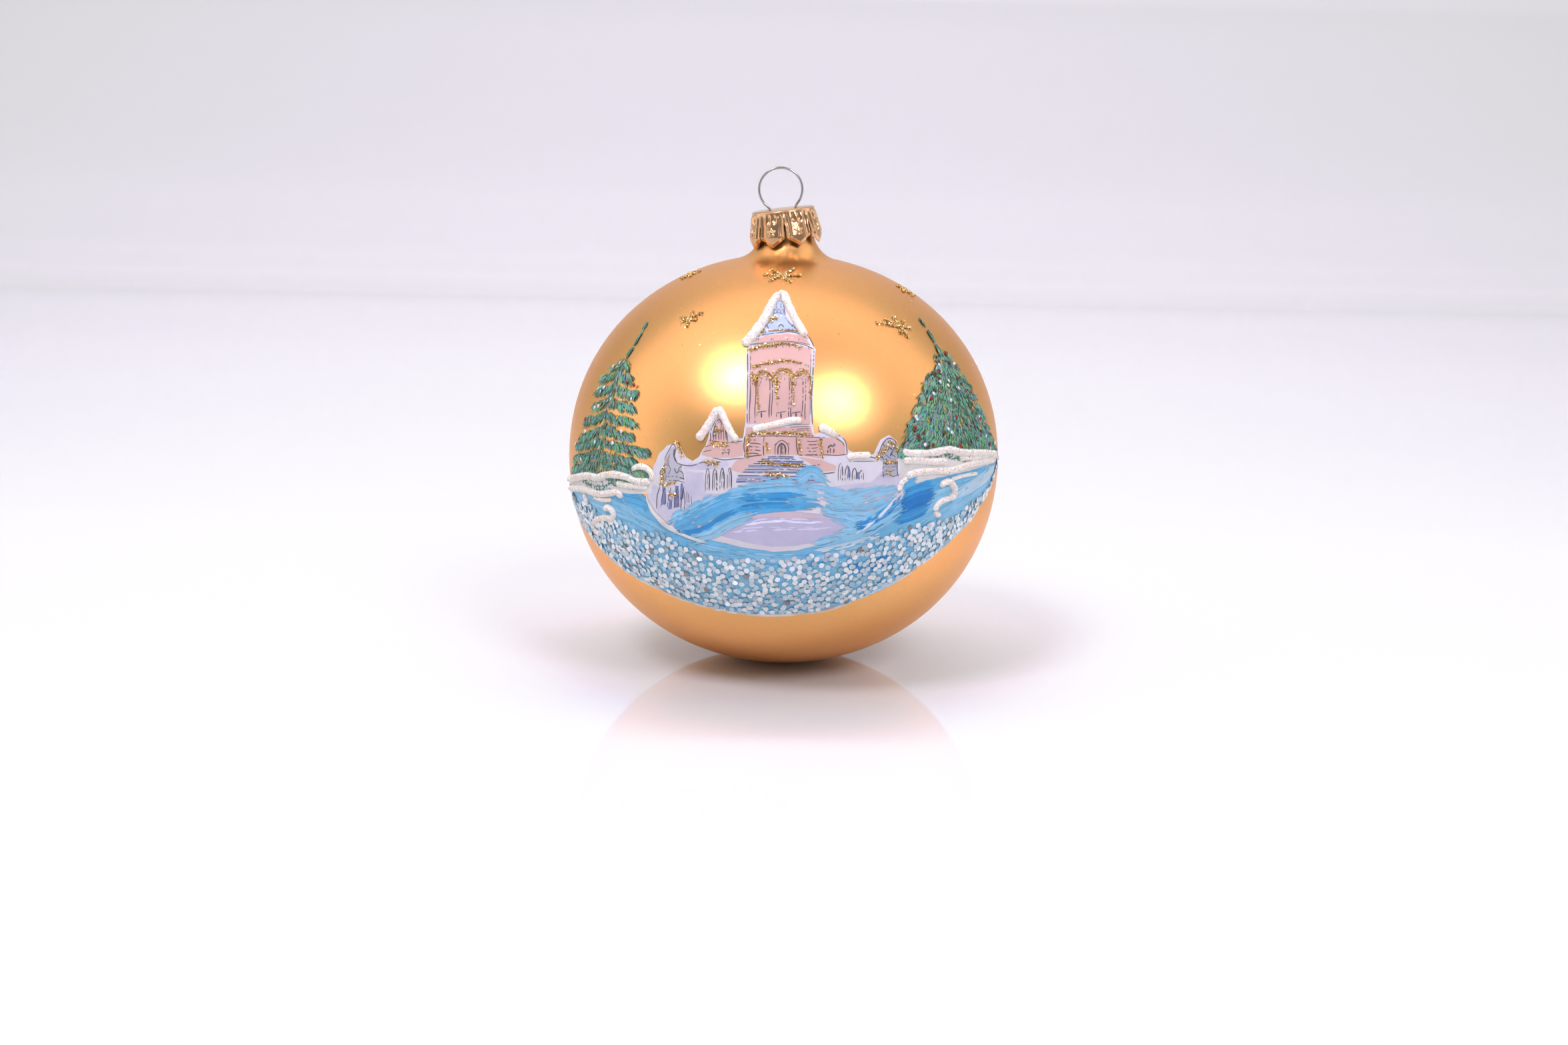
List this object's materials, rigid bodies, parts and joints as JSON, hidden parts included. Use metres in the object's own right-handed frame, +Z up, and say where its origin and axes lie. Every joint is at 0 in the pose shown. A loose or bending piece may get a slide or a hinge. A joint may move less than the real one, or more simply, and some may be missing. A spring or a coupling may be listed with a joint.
{
  "type": "christmas ornament",
  "caption": "Painted glass Christmas ball with a winter town picture in relief paint, a stamped metal cap and a wire loop to hang it by.",
  "frame": {"origin": "middle of the flat foot of the ball, on the table it stands on", "axes": "+Z up through the neck and the cap, -Y towards the painted picture, +X to the picture's right"},
  "size_m": [0.0798, 0.0806, 0.0921],
  "materials": {
    "gold_glass": "gold lacquer with a soft sheen over blown glass",
    "cap_metal": "bright rose gold anodised, stamped",
    "steel_wire": "bright drawn spring wire",
    "printed_paper": "varnished thin printed paper",
    "blue_paint": "brushed gloss acrylic paint",
    "sequin_layer": "loose white, silver and clear 1 mm sequins in glue",
    "green_paint": "thick brushed acrylic paint with sequins in it",
    "snow_paste": "white relief paste with fine glitter on it",
    "gold_glitter": "gold glitter glue"
  },
  "bodies": {
    "ball": {"glass_ball": "gold_glass", "picture_paper": "printed_paper", "water_paint": "blue_paint", "sequin_band": "sequin_layer", "plain_patch": "printed_paper", "left_tree": "green_paint", "right_tree": "green_paint", "tower_roof_snow": "snow_paste", "gable_snow": "snow_paste", "ledge_snow": "snow_paste", "side_house_snow": "snow_paste", "wall_snow": "snow_paste", "left_bank_snow_upper": "snow_paste", "left_bank_snow_lower": "snow_paste", "left_snow_drip": "snow_paste", "right_bank_snow_upper": "snow_paste", "right_bank_snow_lower": "snow_paste", "right_snow_drip": "snow_paste", "right_snow_arm": "snow_paste", "cornice_glitter": "gold_glitter", "arcade_glitter": "gold_glitter", "arch_glitter_left": "gold_glitter", "arch_glitter_middle": "gold_glitter", "arch_glitter_right": "gold_glitter", "ledge_glitter": "gold_glitter", "upper_step_glitter": "gold_glitter", "lower_step_glitter": "gold_glitter", "gable_glitter": "gold_glitter", "fountain_glitter": "gold_glitter", "pavilion_glitter": "gold_glitter", "star_1": "gold_glitter", "star_2": "gold_glitter", "star_3": "gold_glitter", "star_4": "gold_glitter", "star_5": "gold_glitter", "star_6": "gold_glitter", "star_7": "gold_glitter", "star_8": "gold_glitter", "star_9": "gold_glitter"},
    "cap": {"cap": "cap_metal"},
    "hanger": {"hanger_wire": "steel_wire"}
  },
  "joints": [
    {"name": "cap_lift", "type": "slide", "parent": "ball", "child": "cap", "axis": [0, 0, 1], "range_m": [0, 0.025]},
    {"name": "hanger_tilt", "type": "hinge", "parent": "cap", "child": "hanger", "pos_m": [-0.0009, 0, 0.08435], "axis": [0.9914, 0, 0.1305], "range_deg": [-12, 12]}
  ]
}
